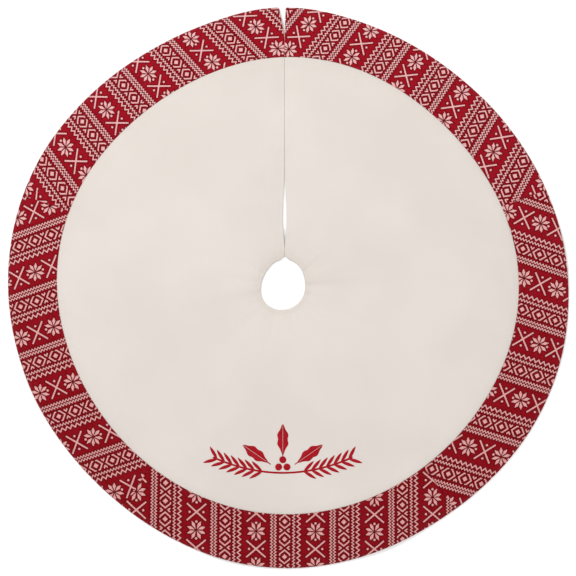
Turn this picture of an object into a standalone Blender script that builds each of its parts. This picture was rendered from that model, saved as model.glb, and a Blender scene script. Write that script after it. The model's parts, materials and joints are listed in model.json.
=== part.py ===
"""Tree skirt: a round lined cloth with a trunk hole, a back slit and a patterned border in five panels.

Metres, +Z up. The skirt lies flat on Z = 0 with its box centred on the origin. The slit runs from the
trunk hole to the rim along +Y, and the embroidery is at the front, towards -Y. Angles are in degrees,
counter-clockwise from +X, about the trunk hole's centre.
"""

import math

import bmesh
import bpy
from mathutils import Vector

# Outlines: a mean radius and the gentle waves round it, each (count, height, angle of a crest).
RIM_RADIUS = 0.6030
RIM_WAVES = ((1, 0.0115, 313), (2, 0.0059, 150), (4, 0.0054, 84), (6, 0.0015, 29))
CORNER_RISE = 0.0065  # the rim's two corners at the slit stand out a little
CORNER_RISE_SPREAD = 11.0  # degrees
BORDER_SEAM_RADIUS = 0.4950
BORDER_SEAM_WAVES = ((1, 0.0067, 344), (2, 0.0028, 168), (4, 0.0047, 85), (5, 0.0014, 12))
HOLE_RADIUS = 0.0511
HOLE_WAVES = ((1, 0.0031, 176), (2, 0.0039, 75), (3, 0.0016, 329))
NOTCH_DEPTH = 0.0065  # the hole runs up into the slit
NOTCH_SPREAD = 6.0  # degrees

# The slit and the four seams between the border's panels.
SLIT_ANGLE = 90.0
LEFT_SEAM_ANGLE = 161.0
FRONT_LEFT_SEAM_ANGLE = 233.6
FRONT_RIGHT_SEAM_ANGLE = 307.4
RIGHT_SEAM_ANGLE = 380.0
FULL_TURN = 360.0

# Where the slit's edges stand apart.
RIM_GAPE_LENGTH = 0.076
RIM_GAPE_LEFT = 0.0125
RIM_GAPE_RIGHT = 0.0024
LENS_START = 0.085
LENS_END = 0.270
LENS_HALF_WIDTH = 0.0038
LENS_SKEW = 0.63

# Layers, from the floor up. Touching layers keep CLEARANCE between them.
CLEARANCE = 0.0003
ROUND_CLEARANCE = 0.0010  # between round edges, whose facets don't match
HOOK_STRIP_THICKNESS = 0.0008
TAB_THICKNESS = 0.0008
LOOP_STRIP_THICKNESS = 0.0007
LINING_THICKNESS = 0.0008
BACKING_THICKNESS = 0.0004
CENTRE_THICKNESS = 0.0010
BORDER_THICKNESS = 0.0013
STITCH_THICKNESS = 0.0007
THREAD_RADIUS = 0.0003

HOOK_STRIP_LOW = CLEARANCE
TAB_LOW = HOOK_STRIP_LOW + HOOK_STRIP_THICKNESS + CLEARANCE
TAB_AXIS_HEIGHT = 0.0012
LOOP_STRIP_LOW = 2 * TAB_AXIS_HEIGHT - HOOK_STRIP_LOW + CLEARANCE
LINING_LOW = LOOP_STRIP_LOW + LOOP_STRIP_THICKNESS + CLEARANCE
BACKING_LOW = LINING_LOW + LINING_THICKNESS + CLEARANCE
CLOTH_LOW = BACKING_LOW + BACKING_THICKNESS + CLEARANCE
CENTRE_TOP = CLOTH_LOW + CENTRE_THICKNESS
BORDER_TOP = CLOTH_LOW + BORDER_THICKNESS
STITCH_LOW = CENTRE_TOP + CLEARANCE
FOLD_RISE = 0.0015  # the fold's axis is this far over the cloth, so a flap clears what it folds onto
FOLD_AXIS_HEIGHT = BORDER_TOP + FOLD_RISE

# Turned hems, which reach the floor, and the topstitching beside the edges.
RIM_HEM_WIDTH = 0.010
HOLE_HEM_WIDTH = 0.008
TOPSTITCH_INSET = 0.009

# The hook and loop closures. A tab is sewn on by the slit's right edge and lies tucked under that flap.
CLOSURES = (("rim", 0.525), ("middle", 0.331), ("hole", 0.098))  # name, distance from the hole's centre
TAB_LENGTH = 0.032
TAB_REACH = 0.042
TAB_SETBACK = 0.001
STRIP_MARGIN = 0.003
STRIP_REACH = 0.026
CORNER_RADIUS = 0.004
CORNER_STEPS = 3

# The embroidery: a fir branch with three holly leaves and three berries over its middle.
BRANCH_CENTRE = (-0.012, -0.402)
BRANCH_HALF_SPAN = 0.152
BRANCH_RISE = 0.034
BRANCH_WIDTH = 0.004
NEEDLES_A_SIDE = 7
NEEDLE_LENGTH = 0.030
NEEDLE_WIDTH = 0.007
NEEDLE_LEAN = 38.0
FIRST_NEEDLE_SHARE = 0.30
LAST_NEEDLE_SHARE = 0.94
LEAF_LENGTH = 0.068
LEAF_WIDTH = 0.027
LEAF_STEPS = 12
LEAF_LOBES = 3
LEAF_LOBE_DEPTH = 0.22
LEAF_STAND_OFF = 0.039
LEAVES = (("left", 145.0), ("middle", 90.0), ("right", 35.0))
BERRY_RADIUS = 0.0075
BERRY_SPREAD = 0.0105
BERRY_LIFT = 0.018
BERRY_STEPS = 12
BERRIES = (("left", 210.0), ("middle", 90.0), ("right", 330.0))
BACKING_CENTRE = (-0.012, -0.357)
BACKING_HALF_SIZE = (0.178, 0.082)
BACKING_STEPS = 36

DEGREES_PER_STEP = 4.0
STITCHING_DEGREES_PER_STEP = 9.0
SECTION_STEPS = 7  # radial divisions of the centre cloth and the lining


def waved(radius, waves, angle):
    """A mean radius with its waves added, at an angle."""
    for count, height, crest in waves:
        radius += height * math.cos(math.radians(count * (angle - crest)))
    return radius


def rise_at_slit(height, spread_angle, angle):
    """A smooth rise of an outline's radius that peaks at the slit."""
    from_slit = (angle - SLIT_ANGLE + FULL_TURN / 2) % FULL_TURN - FULL_TURN / 2
    return height * math.exp(-((from_slit / spread_angle) ** 2))


def rim_radius(angle):
    return waved(RIM_RADIUS, RIM_WAVES, angle) + rise_at_slit(CORNER_RISE, CORNER_RISE_SPREAD, angle)


def border_seam_radius(angle):
    return waved(BORDER_SEAM_RADIUS, BORDER_SEAM_WAVES, angle)


def hole_radius(angle):
    return waved(HOLE_RADIUS, HOLE_WAVES, angle) + rise_at_slit(NOTCH_DEPTH, NOTCH_SPREAD, angle)


def spot(radius, angle):
    """The flat place at a radius and an angle about the hole's centre, before the skirt is centred."""
    return Vector((radius * math.cos(math.radians(angle)), radius * math.sin(math.radians(angle))))


def middle_of_rim():
    """The middle of the rim's box, seen from the hole's centre."""
    spots = [spot(rim_radius(angle / 2), angle / 2) for angle in range(2 * int(FULL_TURN))]
    lows = [min(s[axis] for s in spots) for axis in range(2)]
    highs = [max(s[axis] for s in spots) for axis in range(2)]
    return Vector(((lows[0] + highs[0]) / 2, (lows[1] + highs[1]) / 2))


HOLE_CENTRE = -middle_of_rim()


def slit_gape(is_left, radius):
    """How far the slit's edge on one side stands back from the slit's line."""
    gape = 0.0
    from_rim = rim_radius(SLIT_ANGLE) - radius
    if from_rim < RIM_GAPE_LENGTH:
        widest = RIM_GAPE_LEFT if is_left else RIM_GAPE_RIGHT
        gape += widest * (1 - max(from_rim, 0.0) / RIM_GAPE_LENGTH) ** 2
    if LENS_START < radius < LENS_END:
        share = (radius - LENS_START) / (LENS_END - LENS_START)
        gape += LENS_HALF_WIDTH * math.sin(math.pi * share**LENS_SKEW) ** 2
    return gape


def edge_inset(angle, radius):
    """How far a piece stops short of the seam or slit that it ends at."""
    if angle == SLIT_ANGLE:
        return CLEARANCE / 2 + slit_gape(True, radius)
    if angle == SLIT_ANGLE + FULL_TURN:
        return CLEARANCE / 2 + slit_gape(False, radius)
    return CLEARANCE / 2


def angle_between(start, end, share, radius):
    """The angle at a share of the way between two ends, each set in by its own inset."""
    first = start + math.degrees(math.asin(edge_inset(start, radius) / radius))
    last = end - math.degrees(math.asin(edge_inset(end, radius) / radius))
    return first + share * (last - first)


def make_collection(name):
    made = bpy.data.collections.new(name)
    bpy.context.scene.collection.children.link(made)
    return made


def make_material(name, colour, roughness):
    made = bpy.data.materials.new(name)
    made.use_nodes = True
    shader = made.node_tree.nodes["Principled BSDF"]
    shader.inputs["Base Color"].default_value = (*colour, 1.0)
    shader.inputs["Roughness"].default_value = roughness
    shader.inputs["Metallic"].default_value = 0.0
    made.diffuse_color = (*colour, 1.0)
    return made


def make_pivot(name, place, parent=None):
    """An empty on a fold's axis, which carries what folds with it."""
    pivot = bpy.data.objects.new(name, None)
    pivot.empty_display_size = 0.05
    skirt.objects.link(pivot)
    pivot.parent = parent
    pivot.location = place - (parent.matrix_world.translation if parent else Vector())
    bpy.context.view_layer.update()
    return pivot


def hang_on(pivot, piece, material):
    """Gives a piece its material and puts it on its pivot. Its shape is already relative to that."""
    piece.data.materials.append(material)
    piece.parent = pivot
    skirt.objects.link(piece)


def swept_piece(name, pivot, material, start, end, section):
    """A closed solid between two angles. section(angle) lists its (radius, height) corners in order."""
    steps = max(2, round((end - start) / DEGREES_PER_STEP))
    shape = bmesh.new()
    rings = []
    for step in range(steps + 1):
        share = step / steps
        corners = section(start + share * (end - start))
        ring = []
        for radius, height in corners:
            flat = HOLE_CENTRE + spot(radius, angle_between(start, end, share, radius))
            ring.append(shape.verts.new((flat.x, flat.y, height)))
        rings.append(ring)
    for ring, after in zip(rings, rings[1:]):
        for i, corner in enumerate(ring):
            j = (i + 1) % len(ring)
            shape.faces.new((corner, ring[j], after[j], after[i]))
    shape.faces.new(reversed(rings[0]))
    shape.faces.new(rings[-1])
    bmesh.ops.recalc_face_normals(shape, faces=shape.faces)
    bmesh.ops.translate(shape, verts=shape.verts, vec=-pivot.matrix_world.translation)
    mesh = bpy.data.meshes.new(name)
    shape.to_mesh(mesh)
    shape.free()
    hang_on(pivot, bpy.data.objects.new(name, mesh), material)


def flat_piece(name, pivot, material, outline, low, thickness):
    """A flat plate of one thickness over the height low, from a closed outline of (x, y) points."""
    curve = bpy.data.curves.new(name, "CURVE")
    curve.dimensions = "2D"
    curve.fill_mode = "BOTH"
    curve.extrude = thickness / 2
    spline = curve.splines.new("POLY")
    spline.points.add(len(outline) - 1)
    spline.use_cyclic_u = True
    origin = pivot.matrix_world.translation
    for point, (x, y) in zip(spline.points, outline):
        point.co = (x - origin.x, y - origin.y, 0.0, 1.0)
    piece = bpy.data.objects.new(name, curve)
    piece.location.z = low + thickness / 2 - origin.z
    hang_on(pivot, piece, material)


def thread_piece(name, pivot, material, places):
    """A thread laid along flat (x, y) places on the centre cloth."""
    curve = bpy.data.curves.new(name, "CURVE")
    curve.dimensions = "3D"
    curve.bevel_depth = THREAD_RADIUS
    curve.bevel_resolution = 0
    curve.use_fill_caps = True
    spline = curve.splines.new("POLY")
    spline.points.add(len(places) - 1)
    origin = pivot.matrix_world.translation
    for point, (x, y) in zip(spline.points, places):
        point.co = (x - origin.x, y - origin.y, STITCH_LOW + THREAD_RADIUS - origin.z, 1.0)
    hang_on(pivot, bpy.data.objects.new(name, curve), material)


def spread(low, high, steps):
    """Evenly spaced values, both ends included."""
    return [low + (high - low) * step / steps for step in range(steps + 1)]


def centre_section(angle):
    """The centre cloth: a sheet from the border's seam to the hole, where its edge is turned down."""
    hole = hole_radius(angle)
    seam = border_seam_radius(angle) - ROUND_CLEARANCE / 2
    radii = spread(hole + HOLE_HEM_WIDTH, seam, SECTION_STEPS)
    under = [(radius, CLOTH_LOW) for radius in radii]
    over = [(radius, CENTRE_TOP) for radius in reversed(radii)]
    hem = [(hole, CENTRE_TOP), (hole, 0.0), (hole + HOLE_HEM_WIDTH, 0.0)]
    return under + over + hem


def lining_section(angle):
    """The lining: a flat sheet between the hole's hem and the rim's hem."""
    low = hole_radius(angle) + HOLE_HEM_WIDTH + ROUND_CLEARANCE
    high = rim_radius(angle) - RIM_HEM_WIDTH - ROUND_CLEARANCE
    radii = spread(low, high, SECTION_STEPS)
    under = [(radius, LINING_LOW) for radius in radii]
    over = [(radius, LINING_LOW + LINING_THICKNESS) for radius in reversed(radii)]
    return under + over


def border_section(angle):
    """A border panel: a sheet from the seam to the rim, where its edge is turned down to the floor."""
    seam = border_seam_radius(angle) + ROUND_CLEARANCE / 2
    rim = rim_radius(angle)
    radii = [seam, rim - RIM_GAPE_LENGTH, rim - RIM_GAPE_LENGTH / 2, rim - RIM_HEM_WIDTH]
    under = [(radius, CLOTH_LOW) for radius in radii]
    over = [(radius, BORDER_TOP) for radius in reversed(radii)]
    hem = [(rim - RIM_HEM_WIDTH, 0.0), (rim, 0.0), (rim, BORDER_TOP)]
    return under + hem + over


def rounded_rectangle(low, high):
    """The outline of a rectangle with round corners, from its lowest and highest corner."""
    inner_low = (low[0] + CORNER_RADIUS, low[1] + CORNER_RADIUS)
    inner_high = (high[0] - CORNER_RADIUS, high[1] - CORNER_RADIUS)
    centres = (inner_high, (inner_low[0], inner_high[1]), inner_low, (inner_high[0], inner_low[1]))
    outline = []
    for corner, (x, y) in enumerate(centres):
        for turn in spread(corner * 90.0, corner * 90.0 + 90.0, CORNER_STEPS):
            round_spot = spot(CORNER_RADIUS, turn)
            outline.append((x + round_spot.x, y + round_spot.y))
    return outline


def ellipse(centre, half_size, steps):
    turns = [math.tau * step / steps for step in range(steps)]
    return [
        (centre[0] + half_size[0] * math.cos(t), centre[1] + half_size[1] * math.sin(t))
        for t in turns
    ]


def holly_leaf(base, angle):
    """A holly leaf's outline from its base. Its sides draw in between the lobes."""
    along = spot(1.0, angle)
    across = Vector((-along.y, along.x))
    sides = {-1: [], 1: []}
    for side, places in sides.items():
        for share in spread(0.0, 1.0, LEAF_STEPS)[1:-1]:
            half = LEAF_WIDTH / 2 * math.sin(math.pi * share)
            half *= 1 - LEAF_LOBE_DEPTH * math.sin(math.pi * share * LEAF_LOBES) ** 2
            places.append(base + along * (LEAF_LENGTH * share) + across * (side * half))
    return [base, *sides[-1], base + along * LEAF_LENGTH, *sides[1][::-1]]


def branch_spot(share):
    """A place on the branch, which hangs like a garland. share runs from -1 to 1."""
    x, y = BRANCH_CENTRE
    return Vector((x + BRANCH_HALF_SPAN * share, y + BRANCH_RISE * share * share))


def branch_direction(share):
    return math.degrees(math.atan2(2 * BRANCH_RISE * share, BRANCH_HALF_SPAN))


def needle(share, side):
    """One needle's base, tip and base again, in order along the branch. side is -1 below, 1 above.
    The branch's middle has none, only its bare edge."""
    direction = branch_direction(share)
    edge = branch_spot(share) + spot(side * BRANCH_WIDTH / 2, direction + 90)
    if share == 0:
        return [edge]
    half_base = spot(NEEDLE_WIDTH / 2, direction)
    lean = side * NEEDLE_LEAN if share > 0 else 180 - side * NEEDLE_LEAN
    return [edge - half_base, edge + spot(NEEDLE_LENGTH, direction + lean), edge + half_base]


def branch_outline():
    """The branch as a strip of even width, with needles above and below that lean outwards."""
    outward = spread(FIRST_NEEDLE_SHARE, LAST_NEEDLE_SHARE, NEEDLES_A_SIDE - 1)
    shares = [*(-share for share in reversed(outward)), 0.0, *outward]
    below = [place for share in shares for place in needle(share, -1)]
    above = [place for share in shares for place in needle(share, 1)]
    return [branch_spot(-1.0), *below, branch_spot(1.0), *reversed(above)]


def hole_stitching(start, end):
    """Places along the hole's topstitching, between two angles."""
    steps = round((end - start) / STITCHING_DEGREES_PER_STEP)
    angles = spread(start, end, steps)
    return [HOLE_CENTRE + spot(hole_radius(a) + TOPSTITCH_INSET, a) for a in angles]


def slit_stitching(side):
    """Places along one slit edge's topstitching, from hole to border. side is -1 left, 1 right."""
    low = hole_radius(SLIT_ANGLE + NOTCH_SPREAD) + TOPSTITCH_INSET
    high = border_seam_radius(SLIT_ANGLE) - TOPSTITCH_INSET / 2
    places = []
    for radius in spread(low, high, 2 * SECTION_STEPS):
        inset = TOPSTITCH_INSET + slit_gape(side < 0, radius)
        places.append(HOLE_CENTRE + Vector((side * inset, radius)))
    return places


def add_sector(side, pivot, start, end):
    """The centre cloth and the lining between two angles."""
    swept_piece("centre_cloth_" + side, pivot, cream_cloth, start, end, centre_section)
    swept_piece("lining_" + side, pivot, lining_cloth, start, end, lining_section)


def add_embroidery(pivot):
    """The stitched shapes, which lie on the centre cloth, and the backing under it."""
    level = (STITCH_LOW, STITCH_THICKNESS)
    flat_piece("embroidery_branch", pivot, red_thread, branch_outline(), *level)
    middle = branch_spot(0.0)
    for name, angle in LEAVES:
        leaf = holly_leaf(middle + spot(LEAF_STAND_OFF, angle), angle)
        flat_piece("embroidery_leaf_" + name, pivot, red_thread, leaf, *level)
    bunch = middle + Vector((0.0, BERRY_LIFT))
    for name, angle in BERRIES:
        berry = ellipse(bunch + spot(BERRY_SPREAD, angle), (BERRY_RADIUS, BERRY_RADIUS), BERRY_STEPS)
        flat_piece("embroidery_berry_" + name, pivot, red_thread, berry, *level)
    backing = ellipse(BACKING_CENTRE, BACKING_HALF_SIZE, BACKING_STEPS)
    flat_piece("embroidery_backing", pivot, backing_felt, backing, BACKING_LOW, BACKING_THICKNESS)


def add_stitching(main_pivot, left_pivot, right_pivot):
    """Topstitching round the hole and up both edges of the slit."""
    clear = 2.0  # degrees short of each seam
    right_seam = RIGHT_SEAM_ANGLE - FULL_TURN
    round_left = hole_stitching(SLIT_ANGLE + 2 * NOTCH_SPREAD, LEFT_SEAM_ANGLE - clear)
    round_right = hole_stitching(right_seam + clear, SLIT_ANGLE - 2 * NOTCH_SPREAD)
    round_main = hole_stitching(LEFT_SEAM_ANGLE + clear, RIGHT_SEAM_ANGLE - clear)
    along_left = [*reversed(slit_stitching(-1)), *round_left]
    along_right = [*reversed(slit_stitching(1)), *reversed(round_right)]
    thread_piece("topstitching_left", left_pivot, cream_thread, along_left)
    thread_piece("topstitching_right", right_pivot, cream_thread, along_right)
    thread_piece("topstitching_main", main_pivot, cream_thread, round_main)


def add_closure(name, distance, left_pivot, right_pivot):
    """A tab with its hook strip, on a fold at the slit's right edge, and the loop strip it closes on."""
    edge_radii = spread(distance - TAB_LENGTH / 2, distance + TAB_LENGTH / 2, CORNER_STEPS)
    hinge_x = HOLE_CENTRE.x + max(slit_gape(False, r) for r in edge_radii) + TAB_SETBACK
    middle_y = HOLE_CENTRE.y + distance
    place = Vector((hinge_x, middle_y, TAB_AXIS_HEIGHT))
    pivot = make_pivot("closure_tab_fold_" + name, place, right_pivot)

    low_y = middle_y - TAB_LENGTH / 2
    high_y = middle_y + TAB_LENGTH / 2
    near_x = hinge_x + CLEARANCE
    far_x = near_x + TAB_REACH
    tab = rounded_rectangle((near_x, low_y), (far_x, high_y))
    flat_piece("closure_tab_" + name, pivot, tab_cloth, tab, TAB_LOW, TAB_THICKNESS)

    low_y += STRIP_MARGIN
    high_y -= STRIP_MARGIN
    far_x -= STRIP_MARGIN
    near_x = far_x - STRIP_REACH
    hooks = rounded_rectangle((near_x, low_y), (far_x, high_y))
    flat_piece("hook_strip_" + name, pivot, closure_tape, hooks, HOOK_STRIP_LOW, HOOK_STRIP_THICKNESS)
    loops = rounded_rectangle((2 * hinge_x - far_x, low_y), (2 * hinge_x - near_x, high_y))
    flat_piece(
        "loop_strip_" + name, left_pivot, closure_tape, loops, LOOP_STRIP_LOW, LOOP_STRIP_THICKNESS
    )


for old in list(bpy.data.objects):
    bpy.data.objects.remove(old)

skirt = make_collection("tree_skirt")

cream_cloth = make_material("cream_cloth", (0.79, 0.74, 0.68), 0.9)
red_knit = make_material("red_knit", (0.30, 0.004, 0.016), 0.92)
lining_cloth = make_material("lining_cloth", (0.74, 0.69, 0.62), 0.88)
tab_cloth = make_material("tab_cloth", (0.72, 0.64, 0.53), 0.9)
closure_tape = make_material("closure_tape", (0.68, 0.60, 0.48), 0.95)
red_thread = make_material("red_thread", (0.42, 0.006, 0.018), 0.45)
cream_thread = make_material("cream_thread", (0.76, 0.70, 0.62), 0.6)
backing_felt = make_material("backing_felt", (0.85, 0.85, 0.83), 0.95)

fold_place = Vector((HOLE_CENTRE.x, HOLE_CENTRE.y, FOLD_AXIS_HEIGHT))
main = make_pivot("skirt_main", Vector((0.0, 0.0, 0.0)))
left_flap = make_pivot("left_flap_fold", fold_place, main)
right_flap = make_pivot("right_flap_fold", fold_place, main)

add_sector("left", left_flap, SLIT_ANGLE, LEFT_SEAM_ANGLE)
add_sector("main", main, LEFT_SEAM_ANGLE, RIGHT_SEAM_ANGLE)
add_sector("right", right_flap, RIGHT_SEAM_ANGLE, SLIT_ANGLE + FULL_TURN)

border_panels = (
    ("back_left", left_flap, SLIT_ANGLE, LEFT_SEAM_ANGLE),
    ("left", main, LEFT_SEAM_ANGLE, FRONT_LEFT_SEAM_ANGLE),
    ("front", main, FRONT_LEFT_SEAM_ANGLE, FRONT_RIGHT_SEAM_ANGLE),
    ("right", main, FRONT_RIGHT_SEAM_ANGLE, RIGHT_SEAM_ANGLE),
    ("back_right", right_flap, RIGHT_SEAM_ANGLE, SLIT_ANGLE + FULL_TURN),
)
for panel, panel_pivot, start_seam, end_seam in border_panels:
    swept_piece("border_panel_" + panel, panel_pivot, red_knit, start_seam, end_seam, border_section)

add_embroidery(main)
add_stitching(main, left_flap, right_flap)
for closure, closure_distance in CLOSURES:
    add_closure(closure, closure_distance, left_flap, right_flap)
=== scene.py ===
"""The looks of a lined tree skirt with a patterned border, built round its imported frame.

Metres, +Z up. Angles are in degrees, counter-clockwise from +X, about the trunk hole's centre, and run
from the slit's left edge (90) round the front to its right edge (450). The cloths, the felt and the
stitching all follow one drape, so they keep their distances. The closures lie flat.
"""

import json
import math

import bpy
import numpy as np
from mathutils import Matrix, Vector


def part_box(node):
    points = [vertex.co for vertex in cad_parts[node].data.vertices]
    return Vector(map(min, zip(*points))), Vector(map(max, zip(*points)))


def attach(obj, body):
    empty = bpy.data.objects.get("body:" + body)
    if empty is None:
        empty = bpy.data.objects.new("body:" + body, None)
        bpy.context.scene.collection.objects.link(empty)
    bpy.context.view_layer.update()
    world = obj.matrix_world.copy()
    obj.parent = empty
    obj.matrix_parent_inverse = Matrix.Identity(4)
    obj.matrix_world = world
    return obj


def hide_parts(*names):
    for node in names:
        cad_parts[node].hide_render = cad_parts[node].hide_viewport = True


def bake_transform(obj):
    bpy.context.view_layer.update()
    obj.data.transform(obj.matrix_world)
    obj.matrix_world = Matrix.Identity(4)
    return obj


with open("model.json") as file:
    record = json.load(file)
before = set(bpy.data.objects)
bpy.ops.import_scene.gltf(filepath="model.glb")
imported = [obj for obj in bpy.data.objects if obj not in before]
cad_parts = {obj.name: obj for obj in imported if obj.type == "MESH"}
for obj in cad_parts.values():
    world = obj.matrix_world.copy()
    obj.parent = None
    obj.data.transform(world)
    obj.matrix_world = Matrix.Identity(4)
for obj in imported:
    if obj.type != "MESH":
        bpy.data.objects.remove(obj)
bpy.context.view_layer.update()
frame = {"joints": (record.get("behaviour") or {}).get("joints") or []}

# The outlines, as in the part's source: a mean radius and waves, each (count, height, angle of a crest).
RIM_RADIUS = 0.6030
RIM_WAVES = ((1, 0.0115, 313), (2, 0.0059, 150), (4, 0.0054, 84), (6, 0.0015, 29))
CORNER_RISE = 0.0065
CORNER_RISE_SPREAD = 11.0
SEAM_RADIUS = 0.4950
SEAM_WAVES = ((1, 0.0067, 344), (2, 0.0028, 168), (4, 0.0047, 85), (5, 0.0014, 12))
HOLE_RADIUS = 0.0511
HOLE_WAVES = ((1, 0.0031, 176), (2, 0.0039, 75), (3, 0.0016, 329))
NOTCH_DEPTH = 0.0065
NOTCH_SPREAD = 6.0
RIM_GAPE_LENGTH = 0.076
RIM_GAPE_LEFT = 0.0125
RIM_GAPE_RIGHT = 0.0024
RIM_GAPE_CURVE = 1.5
LENS_START = 0.085
LENS_END = 0.270
LENS_HALF_WIDTH = 0.0038
LENS_SKEW = 0.63

# The frame's own places: both flaps fold about lines through the hole's centre, along two of the seams.
JOINTS = {joint["name"]: joint for joint in frame["joints"]}
HOLE_X, HOLE_Y, _ = JOINTS["left_flap_fold"]["pos_m"]
SLIT = 90.0
LEFT_X, LEFT_Y, _ = JOINTS["left_flap_fold"]["axis"]
RIGHT_X, RIGHT_Y, _ = JOINTS["right_flap_fold"]["axis"]
LEFT_SEAM = math.degrees(math.atan2(-LEFT_Y, -LEFT_X))
RIGHT_SEAM = 360 + math.degrees(math.atan2(RIGHT_Y, RIGHT_X))
FRONT_LEFT_SEAM = 233.6
FRONT_RIGHT_SEAM = 307.4
SLIT_AGAIN = 450.0

# Heights of the layers over the floor, where the drape is flat.
LINING_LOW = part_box("lining_main")[0].z
LINING_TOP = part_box("lining_main")[1].z
CLOTH_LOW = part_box("embroidery_backing")[1].z + 0.0003
CENTRE_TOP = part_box("centre_cloth_main")[1].z
BORDER_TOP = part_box("border_panel_front")[1].z
EDGE_SINK = 0.0022  # the hemmed edges are pressed thinner than the middle
EDGE_SINK_SPREAD = 0.015
DRAPE_CAP = 0.0085  # the most that the drape lifts the cloth


def waved(radius, waves, angle):
    for count, height, crest in waves:
        radius = radius + height * np.cos(np.radians(count * (angle - crest)))
    return radius


def bell(distance, spread):
    """1 at no distance, fading to 0 either side."""
    return np.exp(-((distance / spread) ** 2))


def turn_from(angle, other):
    """The turn from another angle to this one, from -180 to 180."""
    return (angle - other + 180) % 360 - 180


def rise_at_slit(height, spread, angle):
    return height * bell(turn_from(angle, SLIT), spread)


def rim_radius(angle):
    return waved(RIM_RADIUS, RIM_WAVES, angle) + rise_at_slit(CORNER_RISE, CORNER_RISE_SPREAD, angle)


def seam_radius(angle):
    return waved(SEAM_RADIUS, SEAM_WAVES, angle)


def hole_radius(angle):
    return waved(HOLE_RADIUS, HOLE_WAVES, angle) + rise_at_slit(NOTCH_DEPTH, NOTCH_SPREAD, angle)


def slit_gape(is_left, radius):
    """How far one edge of the slit stands back from the slit's line, for an array of radii."""
    from_rim = np.maximum(rim_radius(SLIT) - radius, 0.0)
    widest = RIM_GAPE_LEFT if is_left else RIM_GAPE_RIGHT
    gape = widest * np.clip(1 - from_rim / RIM_GAPE_LENGTH, 0, 1) ** RIM_GAPE_CURVE
    share = np.clip((radius - LENS_START) / (LENS_END - LENS_START), 0, 1)
    return gape + LENS_HALF_WIDTH * np.sin(np.pi * share**LENS_SKEW) ** 2


def smooth(values):
    values = np.clip(values, 0, 1)
    return values * values * (3 - 2 * values)


def quarter_round(distance, radius):
    """How far a rounded edge has dropped at a distance from its end, as a share of the rounding's radius."""
    share = np.clip(1 - distance / radius, 0, 1)
    return 1 - np.sqrt(1 - share**2)


def to_place(angle, radius):
    """Flat x and y of polar places."""
    turn = np.radians(angle)
    return HOLE_X + radius * np.cos(turn), HOLE_Y + radius * np.sin(turn)


def to_polar(x, y):
    """Angle, from 90 to 450, and radius of flat places."""
    angle = (np.degrees(np.arctan2(y - HOLE_Y, x - HOLE_X)) - SLIT) % 360 + SLIT
    return angle, np.hypot(x - HOLE_X, y - HOLE_Y)


# ---------------------------------------------------------------- the drape


DRAPE_ANGLES = 181
DRAPE_RADII = 27
DRAPE_FRAMES = 30
DRAPE_GRAVITY = 0.04  # low, so that the sheet keeps a part of the flutes that it starts with
# The sheet starts with flutes near its rim: (count round the rim, height, angle of a crest).
FLUTES = ((9, 0.0021, 12), (13, 0.0017, 40), (20, 0.0008, 5), (5, 0.0011, 70))
FLUTES_START = 0.36  # the radius where the flutes begin
# and with faint swells all over it: (count, radial rate, height, angle of a crest).
SWELLS = ((3, 9.0, 0.0008, 20), (5, 14.0, 0.0007, 80), (7, 21.0, 0.0005, 10))


def drape_grid():
    """Angles, and the radii at each, of a grid over the whole skirt, from slit edge to slit edge."""
    angles = np.linspace(SLIT, SLIT_AGAIN, DRAPE_ANGLES)
    shares = np.linspace(0, 1, DRAPE_RADII)
    inner = hole_radius(angles)[:, None]
    return angles, inner + shares[None, :] * (rim_radius(angles)[:, None] - inner)


def quads(rows, columns):
    """The four-cornered faces of a grid of points, row by row."""
    first = (np.arange(rows - 1)[:, None] * columns + np.arange(columns - 1)[None, :]).ravel()
    return np.stack([first, first + columns, first + columns + 1, first + 1], 1)


def new_object(name, points, faces):
    mesh = bpy.data.meshes.new(name)
    corners = [tuple(map(int, face)) for face in faces]
    mesh.from_pydata(np.asarray(points, float).tolist(), [], corners)
    mesh.validate()
    made = bpy.data.objects.new(name, mesh)
    bpy.context.scene.collection.objects.link(made)
    return made


def starting_shape():
    """The heights that the sheet starts from: flutes towards the rim, and faint swells all over."""
    angles, radii = drape_grid()
    turn = angles[:, None]
    grown = smooth((radii - FLUTES_START) / (RIM_RADIUS - FLUTES_START))
    flutes = [height * np.cos(np.radians(count * (turn - crest))) for count, height, crest in FLUTES]
    heights = sum(flutes) * grown
    for count, rate, height, crest in SWELLS:
        heights = heights + height * np.cos(np.radians(count * (turn - crest))) * np.sin(rate * radii)
    return heights - heights.min()


def simulate_drape():
    """Lets the sheet down on the floor from its starting shape. Returns its heights on the drape's grid."""
    angles, radii = drape_grid()
    x, y = to_place(angles[:, None], radii)
    points = np.stack([x, y, starting_shape() + 0.002], 2).reshape(-1, 3)
    cloth = new_object("drape", points, quads(*x.shape))
    floor = new_object("drape_floor", [(-1, -1, 0), (1, -1, 0), (1, 1, 0), (-1, 1, 0)], [(0, 1, 2, 3)])
    floor.modifiers.new("Collision", "COLLISION")
    floor.collision.cloth_friction = 60
    floor.collision.thickness_outer = 0.001

    settings = cloth.modifiers.new("Cloth", "CLOTH").settings
    settings.quality = 6
    settings.mass = 0.25
    settings.tension_stiffness = 80
    settings.compression_stiffness = 80
    settings.shear_stiffness = 40
    settings.bending_stiffness = 30
    settings.air_damping = 3
    settings.effector_weights.gravity = DRAPE_GRAVITY
    collision = cloth.modifiers["Cloth"].collision_settings
    collision.distance_min = 0.001
    collision.use_self_collision = False
    scene = bpy.context.scene
    for number in range(1, DRAPE_FRAMES + 1):
        scene.frame_set(number)
    settled = cloth.evaluated_get(bpy.context.evaluated_depsgraph_get()).data
    heights = np.array([v.co.z for v in settled.vertices]).reshape(x.shape)
    scene.frame_set(1)
    bpy.data.objects.remove(cloth)
    bpy.data.objects.remove(floor)
    return heights


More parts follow.
